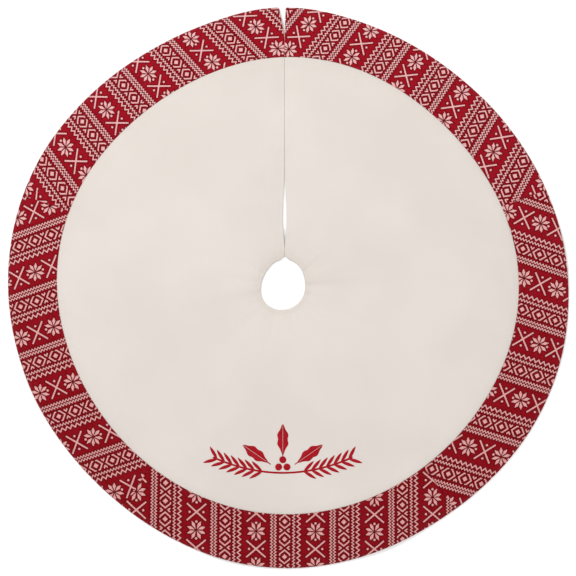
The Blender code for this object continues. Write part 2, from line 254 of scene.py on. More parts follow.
def blurred(heights, rounds):
    """Evens out a grid of heights without moving its edges much."""
    for _ in range(rounds):
        padded = np.pad(heights, 1, mode="edge")
        around = padded[:-2, 1:-1] + padded[2:, 1:-1] + padded[1:-1, :-2] + padded[1:-1, 2:]
        heights = 0.5 * heights + 0.125 * around
    return heights


def make_drape():
    """How far the cloth stands off the floor, on the drape's grid."""
    heights = simulate_drape()
    heights = blurred(heights, 6)
    heights = heights - heights.min()
    return DRAPE_CAP * np.tanh(heights / DRAPE_CAP)


drape_heights = make_drape()


SLIT_SINK = 0.0029  # how much closer to the floor the slit's edges lie between the closures
SLIT_SINK_SPREAD = 0.020
SLIT_SINK_SPANS = ((0.113, 0.302), (0.362, 0.492))
SLIT_SINK_RAMP = 0.020


def slit_sink(angle, radius):
    """How far the cloth has sunk beside the slit, between the closures."""
    from_slit = np.radians(turn_from(angle, SLIT)) * radius
    free = 0.0
    for start, end in SLIT_SINK_SPANS:
        free = free + smooth((radius - start) / SLIT_SINK_RAMP) * smooth((end - radius) / SLIT_SINK_RAMP)
    return SLIT_SINK * free * bell(from_slit, SLIT_SINK_SPREAD)


def drape(angle, radius):
    """How far the cloth at polar places stands higher than flat, from the four grid points round each."""
    angle, radius = np.broadcast_arrays(angle, radius)
    inner = hole_radius(angle)
    row = np.clip((angle - SLIT) / (SLIT_AGAIN - SLIT), 0, 1) * (DRAPE_ANGLES - 1)
    column = np.clip((radius - inner) / (rim_radius(angle) - inner), 0, 1) * (DRAPE_RADII - 1)
    i = np.minimum(row.astype(int), DRAPE_ANGLES - 2)
    j = np.minimum(column.astype(int), DRAPE_RADII - 2)
    s, t = smooth(row - i), smooth(column - j)
    low = drape_heights[i, j] * (1 - s) + drape_heights[i + 1, j] * s
    high = drape_heights[i, j + 1] * (1 - s) + drape_heights[i + 1, j + 1] * s
    return low * (1 - t) + high * t - slit_sink(angle, radius)


def edge_sink(angle, radius):
    """How far the cloth's top is pressed down near the rim and the hole."""
    to_rim = np.maximum(rim_radius(angle) - radius, 0)
    to_hole = np.maximum(radius - hole_radius(angle), 0)
    nearest = np.minimum(to_rim, to_hole)
    return EDGE_SINK * bell(nearest, EDGE_SINK_SPREAD)


# ---------------------------------------------------------------- materials


class Amount:
    """A number that varies over a surface. Arithmetic on it adds Math nodes to its material."""

    def __init__(self, tree, socket):
        self.tree = tree
        self.socket = socket

    def math(self, operation, *others):
        node = self.tree.nodes.new("ShaderNodeMath")
        node.operation = operation
        for slot, value in zip(node.inputs, (self, *others)):
            if isinstance(value, Amount):
                self.tree.links.new(value.socket, slot)
            else:
                slot.default_value = value
        return Amount(self.tree, node.outputs[0])

    def __add__(self, other):
        return self.math("ADD", other)

    def __sub__(self, other):
        return self.math("SUBTRACT", other)

    def __mul__(self, other):
        return self.math("MULTIPLY", other)

    __radd__ = __add__
    __rmul__ = __mul__

    def __rsub__(self, other):
        return (self * -1.0) + other

    def __abs__(self):
        return self.math("ABSOLUTE")

    def folded(self, half):
        """The distance from the nearest multiple of twice half."""
        return self.math("PINGPONG", half)

    def wrapped(self, high, low=0.0):
        return self.math("WRAP", high, low)

    def least(self, *others):
        found = self
        for other in others:
            found = found.math("MINIMUM", other)
        return found

    def most(self, *others):
        found = self
        for other in others:
            found = found.math("MAXIMUM", other)
        return found

    def below(self, limit):
        return self.math("LESS_THAN", limit)

    def eased(self, low, high):
        """0 below low, 1 above high, and smooth between."""
        node = self.tree.nodes.new("ShaderNodeMapRange")
        node.interpolation_type = "SMOOTHSTEP"
        self.tree.links.new(self.socket, node.inputs["Value"])
        node.inputs["From Min"].default_value = low
        node.inputs["From Max"].default_value = high
        return Amount(self.tree, node.outputs["Result"])


def hypot(a, b):
    return (a * a + b * b).math("SQRT")


class Finish:
    """A material that is being made: a Principled BSDF, the cloth's own flat coordinates and some noises."""

    def __init__(self, name, roughness, sheen=0.0):
        self.material = bpy.data.materials.new(name)
        self.material.use_nodes = True
        self.tree = self.material.node_tree
        self.shader = self.tree.nodes["Principled BSDF"]
        self.shader.inputs["Roughness"].default_value = roughness
        self.shader.inputs["Sheen Weight"].default_value = sheen
        self.shader.inputs["Sheen Roughness"].default_value = 0.45
        self.shader.inputs["Specular IOR Level"].default_value = 0.1
        self.flat = self.tree.nodes.new("ShaderNodeUVMap")
        self.flat.uv_map = "cloth"
        apart = self.tree.nodes.new("ShaderNodeSeparateXYZ")
        self.tree.links.new(self.flat.outputs["UV"], apart.inputs[0])
        self.u = Amount(self.tree, apart.outputs["X"])
        self.v = Amount(self.tree, apart.outputs["Y"])

    def noise(self, size, detail=2.0, roughness=0.5):
        """Noise from 0 to 1 with patches about size metres across."""
        node = self.tree.nodes.new("ShaderNodeTexNoise")
        node.inputs["Scale"].default_value = 1 / size
        node.inputs["Detail"].default_value = detail
        node.inputs["Roughness"].default_value = roughness
        self.tree.links.new(self.flat.outputs["UV"], node.inputs["Vector"])
        return Amount(self.tree, node.outputs["Fac"])

    def named(self, attribute):
        """A number that the piece carries at each of its points."""
        node = self.tree.nodes.new("ShaderNodeAttribute")
        node.attribute_name = attribute
        return Amount(self.tree, node.outputs["Fac"])

    def mixed(self, share, low, high):
        """A colour between two others, each a colour or another mix."""
        node = self.tree.nodes.new("ShaderNodeMix")
        node.data_type = "RGBA"
        self.tree.links.new(share.socket, node.inputs["Factor"])
        for slot, colour in ((node.inputs["A"], low), (node.inputs["B"], high)):
            if isinstance(colour, tuple):
                slot.default_value = (*colour, 1.0)
            else:
                self.tree.links.new(colour, slot)
        return node.outputs["Result"]

    def colour(self, socket):
        self.tree.links.new(socket, self.shader.inputs["Base Color"])

    def relief(self, height, depth):
        """Bumps the surface by a height from 0 to 1, which stands for depth metres."""
        node = self.tree.nodes.new("ShaderNodeBump")
        node.inputs["Distance"].default_value = depth
        node.inputs["Strength"].default_value = 1.0
        self.tree.links.new(height.socket, node.inputs["Height"])
        self.tree.links.new(node.outputs["Normal"], self.shader.inputs["Normal"])


def woven(finish, pitch):
    """A plain weave's height, 0 to 1: threads over and under each other, a thread every pitch metres."""
    cycle = math.pi / pitch
    across = (finish.u * cycle).math("SINE")
    along = (finish.v * cycle).math("SINE")
    over = (across * along).math("SIGN")
    warp = abs(across) * (0.5 + over * 0.5)
    weft = abs(along) * (0.5 - over * 0.5)
    return warp.most(weft)


def cream_material():
    finish = Finish("cream_cloth", 0.88, sheen=0.18)
    weave = woven(finish, 0.0007)
    fuzz = finish.noise(0.0011, 3.0, 0.6)
    slub = finish.noise(0.012, 2.0)
    cloudy = finish.noise(0.21, 2.0)
    base = finish.mixed(cloudy.eased(0.3, 0.7), (0.745, 0.685, 0.632), (0.785, 0.722, 0.672))
    # Partly painted shade: the cloth is darker where the weave dips between its threads; the fuzz adds random
    # tone.
    face = finish.mixed((weave * 0.5 + fuzz * 0.5).eased(0.05, 0.5), (0.63, 0.565, 0.51), base)
    # Painted shade: the cream is darkened along the seam and round the hole.
    finish.colour(finish.mixed(finish.named("wear") * 0.28, face, (0.53, 0.46, 0.40)))
    finish.relief(weave * 0.5 + fuzz * 0.3 + slub * 0.5, 0.00028)
    return finish.material


# The knitted pattern, in metres, in one repeat of the cloth. Its middle is a star.
REPEAT = 0.12935
ROW_REPEAT = 0.07672
STITCH = 0.00128  # one knitted stitch
DRAWN = STITCH / 2  # the pattern's outlines step by half a stitch
DIAMOND_COLUMN = 0.0620
DIAMOND_ROW = 0.01695


def petal(along_u, along_v, u, v):
    """Distance outside a petal that points from a star's middle to (along_u, along_v)."""
    length = math.hypot(along_u, along_v)
    along = (u * along_u + v * along_v) * (1 / length)
    across = abs(u * along_v - v * along_u) * (1 / length)
    return across - ((along - 0.0028) * 0.34).least((length - along) * 0.44)


def star(u, v):
    side = petal(0.0200, 0.0072, u, v)
    upper = petal(0.0100, 0.0190, u, v)
    dot = hypot(u, v - 0.0178) - 0.0026
    return side.least(upper, dot)


def cross(u, v):
    """Two crossed bars and a dot on each side. u and v are distances from its middle."""
    length = math.hypot(0.0204, 0.0176)
    across = abs(u * 0.0176 - v * 0.0204) * (1 / length)
    along = (u * 0.0204 + v * 0.0176) * (1 / length)
    bar = (across - 0.0017).most(along - 0.0275)
    return bar.least(hypot(u - 0.0150, v) - 0.0025)


def diamond(u, v, between):
    """A broken ring, a filled middle, and a small arrow at each side of the gap to the next one."""
    side = abs(u - 0.0110) - 0.0012
    slope = abs(v + u * 0.82 - 0.0145) * 0.773 - 0.0015
    ring = slope.most(u - 0.0122, 0.0040 - v).least(side.most(v - 0.0058, 0.0020 - v))
    middle = (u + v - 0.0058) * 0.7
    arrow = abs(u - 0.0062 - between * 1.1) * 0.67 - 0.0015
    arrow = arrow.most(between - 0.0044, u - 0.0118)
    return ring.least(middle, arrow)


def zigzag(u, v, column, reach, period, start, half_width):
    """A line that runs to and fro across a column as v goes on."""
    swing = (v - start).folded(period / 2) * (4 * reach / period) - reach
    slope = 4 * reach / period
    return abs(u - column - swing) * (1 / math.hypot(1, slope)) - half_width


def border_pattern(finish):
    """Distance outside the nearest pale motif, below 0 within one."""
    u = (finish.u * (1 / DRAWN)).math("FLOOR") * DRAWN + DRAWN / 2
    v = (finish.v * (1 / DRAWN)).math("FLOOR") * DRAWN + DRAWN / 2
    from_star = u.folded(REPEAT / 2)
    from_star_row = v.folded(ROW_REPEAT / 2)
    from_cross_row = ROW_REPEAT / 2 - from_star_row
    from_diamond = (u - DIAMOND_COLUMN).folded(REPEAT / 2)
    from_diamond_row = (v - DIAMOND_ROW).folded(ROW_REPEAT / 4)
    between_rows = ROW_REPEAT / 4 - from_diamond_row
    in_repeat = u.wrapped(REPEAT)
    fine = {"reach": 0.0024, "period": 0.00687, "half_width": 0.0010}
    return star(from_star, from_star_row).least(
        cross(from_star, from_cross_row),
        diamond(from_diamond, from_diamond_row, between_rows),
        zigzag(in_repeat, v, column=0.0337, start=0.0, **fine),
        zigzag(in_repeat, v, column=0.0413, start=0.0, **fine),
        zigzag(in_repeat, v, column=0.0817, start=0.0034, **fine),
        zigzag(in_repeat, v, column=0.0925, reach=0.0036, period=0.01143, start=0.0008, half_width=0.0013),
    )


def knit_relief(finish):
    """The height of knitted stitches, 0 to 1: columns of V shapes, two legs to a stitch."""
    leg = (finish.u * (1 / STITCH)).folded(0.5) * 2
    climb = (finish.v * (1 / STITCH) - leg * 0.5).folded(0.5) * 2
    ribs = (leg * math.pi).math("SINE")
    return ribs * 0.45 + climb.eased(0.0, 0.8) * 0.55


def knit_material():
    finish = Finish("red_knit", 0.9, sheen=0.05)
    finish.shader.inputs["Sheen Tint"].default_value = (1.0, 0.25, 0.25, 1.0)
    outside = border_pattern(finish)
    stitches = knit_relief(finish)
    fuzz = finish.noise(0.0009, 3.0, 0.65)
    cloudy = finish.noise(0.035, 3.0)
    # Painted light: the red and the pale are coloured lighter towards the back of the border and darker
    # towards the front.
    nap = finish.named("nap")
    red = finish.mixed(nap, (0.240, 0.0010, 0.0055), (0.355, 0.0035, 0.0135))
    red = finish.mixed(cloudy.eased(0.25, 0.75) * 0.22, red, (0.48, 0.012, 0.030))
    red = finish.mixed(outside.eased(0.0002, 0.0040), (0.140, 0.0002, 0.0015), red)
    pale = finish.mixed(nap, (0.84, 0.415, 0.400), (0.96, 0.52, 0.515))
    pale = finish.mixed(fuzz.eased(0.35, 0.8) * 0.35, pale, (0.66, 0.27, 0.25))
    face = finish.mixed(outside.below(0.0), red, pale)
    shaded = finish.mixed((stitches * 0.8 + fuzz * 0.3).eased(-0.25, 0.40), (0.085, 0.0010, 0.003), face)
    # Painted shade: the border is darkened along the rim and the seam.
    finish.colour(finish.mixed(finish.named("wear") * 0.2, shaded, (0.30, 0.06, 0.07)))
    finish.relief(stitches * 0.8 + fuzz * 0.35, 0.00055)
    return finish.material


def lining_material():
    finish = Finish("lining_cloth", 0.82, sheen=0.1)
    weave = woven(finish, 0.0005)
    slub = finish.noise(0.009, 3.0)
    cloudy = finish.noise(0.16, 2.0)
    base = finish.mixed(cloudy.eased(0.3, 0.7), (0.70, 0.65, 0.58), (0.75, 0.70, 0.635))
    # Partly painted shade: darker where the weave dips between its threads; the slubs add random tone.
    finish.colour(finish.mixed((weave * 0.6 + slub * 0.5).eased(0.1, 0.6), (0.58, 0.525, 0.455), base))
    finish.relief(weave * 0.5 + slub * 0.5, 0.00022)
    return finish.material


def tape_material(name, low, high, pitch, roughness):
    """A narrow woven tape or a felt, by how coarse it is."""
    finish = Finish(name, roughness, sheen=0.15)
    weave = woven(finish, pitch)
    fuzz = finish.noise(0.0008, 4.0, 0.7)
    # Partly painted shade: darker where the weave dips between its threads; the fuzz adds random tone.
    finish.colour(finish.mixed((weave * 0.5 + fuzz * 0.6).eased(0.15, 0.8), low, high))
    finish.relief(weave * 0.5 + fuzz * 0.5, 0.0003)
    return finish.material


def thread_material(name, low, high, roughness):
    """Twisted embroidery thread: u runs along the thread in turns of its twist."""
    finish = Finish(name, roughness, sheen=0.06)
    finish.shader.inputs["Sheen Tint"].default_value = (*high, 1.0)
    finish.shader.inputs["Sheen Roughness"].default_value = 0.3
    twist = (finish.u * (math.pi / 0.0012) + finish.v * math.pi).math("SINE")
    shade = finish.noise(0.0035, 2.0)
    # Partly painted shade: darker in the grooves of the twist; the noise adds random tone.
    finish.colour(finish.mixed((twist * 0.25 + shade * 0.75).eased(0.1, 0.7), low, high))
    finish.relief(twist * 0.5 + 0.5, 0.00006)
    return finish.material


MATERIALS = {
    "cream_cloth": cream_material(),
    "red_knit": knit_material(),
    "lining_cloth": lining_material(),
    "tab_cloth": tape_material("tab_cloth", (0.60, 0.51, 0.40), (0.76, 0.68, 0.57), 0.0009, 0.85),
    "closure_tape": tape_material("closure_tape", (0.55, 0.47, 0.36), (0.71, 0.63, 0.51), 0.0006, 0.9),
    "backing_felt": tape_material("backing_felt", (0.76, 0.76, 0.74), (0.88, 0.88, 0.86), 0.0013, 0.95),
    "red_thread": thread_material("red_thread", (0.29, 0.003, 0.009), (0.52, 0.010, 0.022), 0.42),
    "cream_thread": thread_material("cream_thread", (0.68, 0.62, 0.55), (0.80, 0.75, 0.68), 0.5),
}


# ---------------------------------------------------------------- making pieces


def finish_piece(name, points, faces, flat, slot, nodes):
    """A shaded mesh with the cloth's flat coordinates, in its material, that stands for CAD nodes."""
    piece = new_object(name, points, faces)
    mesh = piece.data
    corners = np.zeros(len(mesh.loops), int)
    mesh.loops.foreach_get("vertex_index", corners)
    layer = mesh.uv_layers.new(name="cloth")
    layer.data.foreach_set("uv", np.asarray(flat, np.float32)[corners].ravel())
    mesh.shade_smooth()
    mesh.set_sharp_from_angle(angle=math.radians(50))
    mesh.materials.append(MATERIALS[slot])
    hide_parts(*nodes)
    return piece


def put_on(piece, body):
    """Main and tab pieces ride their body. A flap's cloth stays where it was built, with its transform baked
    into its points.
    """
    if body not in FOLDS:
        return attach(piece, body)
    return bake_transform(piece)


# The direction in which each flap lies from its fold.
FOLDS = {"left_flap": LEFT_SEAM - 90, "right_flap": RIGHT_SEAM - 360 + 90}


SLIT_CLEARANCE = 0.0002


def end_angles(start, end, radius):
    """Where a cloth starts and ends at each radius. The slit's edges stand apart."""
    first = np.full_like(radius, start)
    last = np.full_like(radius, end)
    if start == SLIT:
        first = first + np.degrees(np.arcsin((slit_gape(True, radius) + SLIT_CLEARANCE) / radius))
    if end == SLIT_AGAIN:
        last = last - np.degrees(np.arcsin((slit_gape(False, radius) + SLIT_CLEARANCE) / radius))
    return first, last


END_ROUNDING = 0.0026
EDGE_STEPS = (0.0003, 0.0009, 0.0018, 0.0030, 0.0048)
FOLD_STEPS = np.concatenate([np.arange(0.2, 4.2, 0.2), np.arange(4.5, 13.0, 0.5)])


def ring_shares(start, end, step, rounded):
    """Shares of the way round: even ones, and crowded ones at rounded ends and where a flap bends."""
    shares = list(np.linspace(0, 1, max(8, round((end - start) / step)) + 1))
    arc = math.radians(end - start) * SEAM_RADIUS
    near = [distance / arc for distance in EDGE_STEPS]
    bend = FOLD_STEPS / (end - start)
    if rounded[0]:
        shares += near
    if rounded[1]:
        shares += [1 - share for share in near]
    if start == SLIT:
        shares += list(1 - bend)
    if end == SLIT_AGAIN:
        shares += list(bend)
    shares = np.unique(np.round(shares, 6))
    return shares[np.diff(shares, prepend=-1) > 0.00015]


def swept(name, start, end, section, step, rounded, slot, node, flat_of):
    """A closed cloth between two angles. section(angles) gives radii, heights and how much each rounds over,
    as arrays of a row for each angle and a column for each corner of the cross-section, in order."""
    shares = ring_shares(start, end, step, rounded)
    nominal = start + shares * (end - start)
    radius, height, rounding = section(nominal)
    first, last = end_angles(start, end, radius)
    angle = first + shares[:, None] * (last - first)
    for is_rounded, distance in ((rounded[0], angle - first), (rounded[1], last - angle)):
        if is_rounded:
            height = height - rounding * quarter_round(np.radians(distance) * radius, END_ROUNDING)
    height = height + drape(angle, radius)
    x, y = to_place(angle, radius)
    rows, columns = x.shape
    points = np.stack([x, y, height], 2).reshape(-1, 3)
    index = np.arange(rows * columns).reshape(rows, columns)
    ahead = np.roll(index, -1, axis=1)
    faces = np.stack([index[:-1], ahead[:-1], ahead[1:], index[1:]], 2).reshape(-1, 4)
    made = [tuple(face) for face in faces]
    made += end_cap(index[0][::-1], columns) + end_cap(index[-1], columns)
    return finish_piece(name, points, made, flat_of(points), slot, [node])


def end_cap(ring, columns):
    """Closes a cross-section whose second half runs back under its first."""
    half = columns // 2
    return [
        (ring[i], ring[i + 1], ring[columns - 2 - i], ring[columns - 1 - i]) for i in range(half - 1)
    ]


def offsets(total, near_start, near_end, middle_steps):
    """Distances along a cross-section for each row: crowded near both ends and even between."""
    start = np.array(near_start)
    end = np.array(near_end)
    even = np.linspace(0, 1, middle_steps + 2)[1:-1]
    rows = total[:, None]
    inner = np.broadcast_to(start, (len(total), len(start)))
    outer = rows - end[::-1]
    between = start[-1] + even * (rows - start[-1] - end[-1])
    return np.hstack([inner, between, outer])


SEAM_ROUNDING = 0.0009
SEAM_SPREAD = 0.0022
EDGE_NEAR = [0.0, 0.0003, 0.0009, 0.0018, 0.0032, 0.0056, 0.0086, 0.0100, 0.0122, 0.0180]


def pucker(angle, distance):
    """Small puckers along a sewn seam, which fade away from it."""
    turn = np.radians(angle)
    ripple = np.sin(turn * 187) + 0.8 * np.sin(turn * 131 + 2.0) + 0.6 * np.sin(turn * 241 + 0.7)
    return 0.00022 * ripple * np.exp(-distance / 0.011)


def seam_pull(angle, width):
    """How much a place on the border is drawn together by the nearest of its panels' seams, 0 to 1."""
    pull = 0.0
    for seam in (SLIT, LEFT_SEAM, FRONT_LEFT_SEAM, FRONT_RIGHT_SEAM, RIGHT_SEAM):
        pull = pull + bell(np.radians(turn_from(angle, seam)) * SEAM_RADIUS, width)
    return pull


def back_and_forth(top_radius, top_height, top_round, low_height):
    """A closed cross-section: the top from inside out, and the underside back below the same radii."""
    radius = np.hstack([top_radius, top_radius[:, ::-1]])
    height = np.hstack([top_height, low_height[:, ::-1]])
    rounding = np.hstack([top_round, np.zeros_like(top_round)])
    return radius, height, rounding


HOLE_HEM_WIDTH = 0.0087
RIM_HEM_WIDTH = 0.0110
HEM_LOW = 0.0004
HEM_LIP_LOW = 0.0012  # the very edge is rounded up from the floor
LEAST_THICKNESS = 0.0003
SEAM_GAP = 0.00005
TOPSTITCH_INSET = 0.0092
LINING_FROM_HOLE = 0.0092
LINING_FROM_RIM = 0.0114


def hemmed_underside(from_edge, width, top):
    """The underside's height: near the floor across a turned hem, and at the cloth's own beyond."""
    low = np.where(from_edge < width, HEM_LOW, CLOTH_LOW)
    low = np.where(from_edge < 0.0001, HEM_LIP_LOW, low)
    return np.minimum(low, top - LEAST_THICKNESS)


def centre_section(angles):
    """The centre cloth. Its inner edge is turned down to the floor, and its outer edge dips into the seam."""
    turn = angles[:, None]
    hole = hole_radius(turn)
    seam = seam_radius(turn) - SEAM_GAP
    away = offsets((seam - hole)[:, 0], EDGE_NEAR, EDGE_NEAR[:7], 52)
    radius = hole + away
    to_seam = seam - radius
    top = CENTRE_TOP - edge_sink(turn, radius)
    top = top - 0.0030 * quarter_round(away, 0.0030)
    top = top - SEAM_ROUNDING * quarter_round(to_seam, SEAM_SPREAD) + pucker(turn, to_seam)
    top = top + 0.0008 * bell(to_seam - 0.012, 0.008)
    top = top - 0.00045 * bell(away - TOPSTITCH_INSET, 0.0012)
    low = hemmed_underside(away, HOLE_HEM_WIDTH, top)
    return back_and_forth(radius, top, np.full_like(top, 0.0009), low)


def border_section(angles):
    """A border panel. Its inner edge dips into the seam, and its rim is a turned hem."""
    turn = angles[:, None]
    seam = seam_radius(turn) + SEAM_GAP
    rim = rim_radius(turn)
    away = offsets((rim - seam)[:, 0], EDGE_NEAR[:8], EDGE_NEAR, 18)
    radius = seam + away
    to_rim = rim - radius
    pull = seam_pull(turn, 0.012)
    top = BORDER_TOP - edge_sink(turn, radius)
    top = top - SEAM_ROUNDING * quarter_round(away, SEAM_SPREAD) + pucker(turn + 3, away)
    top = top - 0.0022 * quarter_round(to_rim, 0.0028)
    top = top + 0.0005 * bell(away - 0.010, 0.007)
    top = top + 0.0005 * seam_pull(turn, 0.020) * np.sin(to_rim / 0.0042) - 0.0004 * pull
    low = hemmed_underside(to_rim, RIM_HEM_WIDTH, top)
    return back_and_forth(radius, top, np.full_like(top, 0.0012), low)


def lining_section(angles):
    """The lining, between the hole's hem and the rim's."""
    turn = angles[:, None]
    inner = hole_radius(turn) + LINING_FROM_HOLE
    outer = rim_radius(turn) - LINING_FROM_RIM
    radius = inner + offsets((outer - inner)[:, 0], EDGE_NEAR[:5], EDGE_NEAR[:5], 40)
    top = np.full_like(radius, LINING_TOP) - 0.0003 * quarter_round(outer - radius, 0.002)
    low = LINING_LOW + pucker(turn, outer - radius)
    return back_and_forth(radius, top, np.zeros_like(top), low)


# Each border panel was cut from the patterned cloth by itself: its ends, the body it is on, the direction
# of its stripes, the place in the repeat that its middle shows, the cloth's scale, and four small
# stretches: uneven and fanned across the stripes, then skewed and bowed along them.
PANELS = {
    "back_left": (
        SLIT, LEFT_SEAM, "left_flap", 130.25,
        (0.0277, 0.0041), 0.923, (-0.0021, 0.0080, -0.0070, 0.0194),
    ),
    "left": (
        LEFT_SEAM, FRONT_LEFT_SEAM, "main", 199.27,
        (0.0634, 0.0453), 0.976, (-0.0054, 0.0008, -0.0007, 0.0089),
    ),
    "front": (
        FRONT_LEFT_SEAM, FRONT_RIGHT_SEAM, "main", 269.58,
        (0.0668, 0.0136), 0.998, (0.0054, -0.0010, 0.0027, 0.0056),
    ),
    "right": (
        FRONT_RIGHT_SEAM, RIGHT_SEAM, "main", 341.75,
        (0.0959, 0.0584), 0.985, (0.0116, 0.0018, -0.0008, 0.0067),
    ),
    "back_right": (
        RIGHT_SEAM, SLIT_AGAIN, "right_flap", 56.18,
        (0.0806, 0.0624), 0.937, (0.0168, 0.0071, 0.0026, -0.0208),
    ),
}
PANEL_MIDDLES = {"back_left": 125.5, "left": 197.3, "front": 270.5, "right": 343.7, "back_right": 55.0}
PANEL_MIDDLE_RADIUS = 0.548
STRETCH_ACROSS = 0.4
STRETCH_ALONG = 0.06


def pattern_places(points, panel):
    """Where each point of a panel lies on the patterned cloth."""
    _, _, _, direction, place, scale, (uneven, fanned, skewed, bowed) = PANELS[panel]
    middle = to_place(PANEL_MIDDLES[panel], PANEL_MIDDLE_RADIUS)
    x, y = points[:, 0] - middle[0], points[:, 1] - middle[1]
    turn = math.radians(direction)
    along = x * math.cos(turn) + y * math.sin(turn)
    across = y * math.cos(turn) - x * math.sin(turn)
    s, t = across / STRETCH_ACROSS, along / STRETCH_ALONG
    u = across / scale + place[0] + uneven * s * s + fanned * s * t
    v = along / scale + place[1] + skewed * s * t + bowed * s * s
    return np.stack([u, v], 1)


def plain_places(points):
    return points[:, :2]


def area_between(start, end, inner, outer):
    """The flat area between two outlines, from one angle to another."""
    angles = np.linspace(start, end, 400)
    swept_area = (outer(angles) ** 2 - inner(angles) ** 2) / 2
    return float(np.mean(swept_area) * math.radians(end - start))


def flat_size(start, end, inner, outer, hem):
    """The rectangle round a flat cut, turned to lie along its middle, with its hem let out."""
    angles = np.linspace(start, end, 200)
    turned = np.radians(angles - (start + end) / 2)
    edges = np.concatenate([inner(angles), outer(angles) + hem])
    along = edges * np.cos(np.tile(turned, 2))
    across = edges * np.sin(np.tile(turned, 2))
    return float(np.ptp(across)), float(np.ptp(along))


def declare_laid(start, end, inner, outer, hem):
    width, length = flat_size(start, end, inner, outer, hem)
    area = area_between(start, end, inner, lambda angle: outer(angle) + hem)


HEM = 0.010


def carry(piece, name, value_at):
    """Gives each point of a piece a number for its material, from the point's angle and radius."""
    places = np.zeros(3 * len(piece.data.vertices), np.float32)
    piece.data.vertices.foreach_get("co", places)
    angle, radius = to_polar(places[0::3], places[1::3])
    carried = piece.data.attributes.new(name, "FLOAT", "POINT")
    carried.data.foreach_set("value", value_at(angle, radius).astype(np.float32))


def painted_light_towards_back(angle, radius):
    """Painted light, 0 to 1: the border is coloured lighter towards the back than towards the front, standing
    for brighter light on its back.
    """
    return smooth(0.45 + 0.55 * radius * np.sin(np.radians(angle)) / RIM_RADIUS)


# How much painted shade darkens the border: strongest at the rim and along the seam.
def border_painted_shade(angle, radius):
    to_rim = np.maximum(rim_radius(angle) - radius, 0)
    to_seam = np.maximum(radius - seam_radius(angle), 0)
    return np.exp(-to_rim / 0.004) + 0.5 * np.exp(-to_seam / 0.003)


# How much painted shade darkens the centre cloth: strongest round the hole and along the seam.
def centre_painted_shade(angle, radius):
    to_seam = np.maximum(seam_radius(angle) - radius, 0)
    to_hole = np.maximum(radius - hole_radius(angle), 0)
    return 0.7 * np.exp(-to_seam / 0.009) + np.exp(-to_hole / 0.010)


def add_borders():
    for panel, (start, end, body, *_) in PANELS.items():
        node = "border_panel_" + panel
        piece = swept(
            "knitted_border_" + panel, start, end, border_section, 0.25, (True, True), "red_knit", node,
            lambda points, panel=panel: pattern_places(points, panel),
        )
        # The border's painted light: lighter towards the back.
        carry(piece, "nap", painted_light_towards_back)
        # Painted shade at the rim and the seam.
        carry(piece, "wear", border_painted_shade)
        put_on(piece, body)
        declare_laid(start, end, seam_radius, rim_radius, HEM)


SECTORS = {
    "left": (SLIT, LEFT_SEAM, "left_flap", (True, False)),
    "main": (LEFT_SEAM, RIGHT_SEAM, "main", (False, False)),
    "right": (RIGHT_SEAM, SLIT_AGAIN, "right_flap", (False, True)),
}


def add_centres_and_linings():
    for side, (start, end, body, rounded) in SECTORS.items():
        lining = swept(
            "lining_sheet_" + side, start, end, lining_section, 1.0, (False, False), "lining_cloth",
            "lining_" + side, plain_places,
        )
        put_on(lining, body)
        declare_laid(
            start, end, lambda a: hole_radius(a) + HEM, lambda a: rim_radius(a) - HEM, 0.0
        )
        centre = swept(
            "cream_cloth_" + side, start, end, centre_section, 0.5, rounded, "cream_cloth",
            "centre_cloth_" + side, plain_places,
        )
        # Painted shade along the seam and round the hole.
        carry(centre, "wear", centre_painted_shade)
        put_on(centre, body)
        declare_laid(start, end, hole_radius, seam_radius, 0.0)


# ---------------------------------------------------------------- threads


THREAD_RADIUS = 0.00030
THREAD_PITCH = 0.00046
THREAD_SIDES = 5
THREAD_STEPS = 6


def cream_surface(x, y):
    """The height of the centre cloth's top at flat places away from its edges."""
    angle, radius = to_polar(x, y)
    return CENTRE_TOP + drape(angle, radius) - edge_sink(angle, radius)


def laid_threads(starts, ends, rise, radius=THREAD_RADIUS, sink=0.0002):
    """Short threads on the centre cloth, each from a start to an end, arched up by its own rise.
    Returns points, faces and flat coordinates."""
    starts, ends = np.asarray(starts, float), np.asarray(ends, float)
    rise = np.broadcast_to(rise, len(starts))
    share = np.linspace(0, 1, THREAD_STEPS)
    line = starts[:, None, :] + share[None, :, None] * (ends - starts)[:, None, :]
    arch = np.sin(np.pi * np.clip(share * 0.96 + 0.02, 0, 1)) ** 0.55
    height = cream_surface(line[..., 0], line[..., 1]) - sink + rise[:, None] * arch[None, :]
    length = np.linalg.norm(ends - starts, axis=1)
    along = (ends - starts) / np.maximum(length, 1e-6)[:, None]
    side = np.stack([-along[:, 1], along[:, 0]], 1)
    turns = np.arange(THREAD_SIDES) * math.tau / THREAD_SIDES
    across = radius * np.cos(turns)
    up = radius * np.sin(turns)
    ring_xy = line[:, :, None, :] + side[:, None, None, :] * across[None, None, :, None]
    ring_z = height[:, :, None] + up[None, None, :]
    points = np.concatenate([ring_xy, ring_z[..., None]], 3).reshape(-1, 3)
    flat_u = np.broadcast_to(share[None, :, None] * length[:, None, None], ring_z.shape)
    flat_v = np.broadcast_to((turns / math.pi)[None, None, :], ring_z.shape)
    flat = np.stack([flat_u, flat_v], 3).reshape(-1, 2)
    return points, thread_faces(len(starts)), flat


def tube_sides(rings, sides, base=0):
    """The faces between rings of points, ring after ring."""
    return [
        (low + i, low + (i + 1) % sides, low + sides + (i + 1) % sides, low + sides + i)
        for low in range(base, base + (rings - 1) * sides, sides)
        for i in range(sides)
    ]


def closed_tube(rings, sides, base=0):
    last = base + (rings - 1) * sides
    ends = [tuple(range(base + sides - 1, base - 1, -1)), tuple(range(last, last + sides))]
    return tube_sides(rings, sides, base) + ends


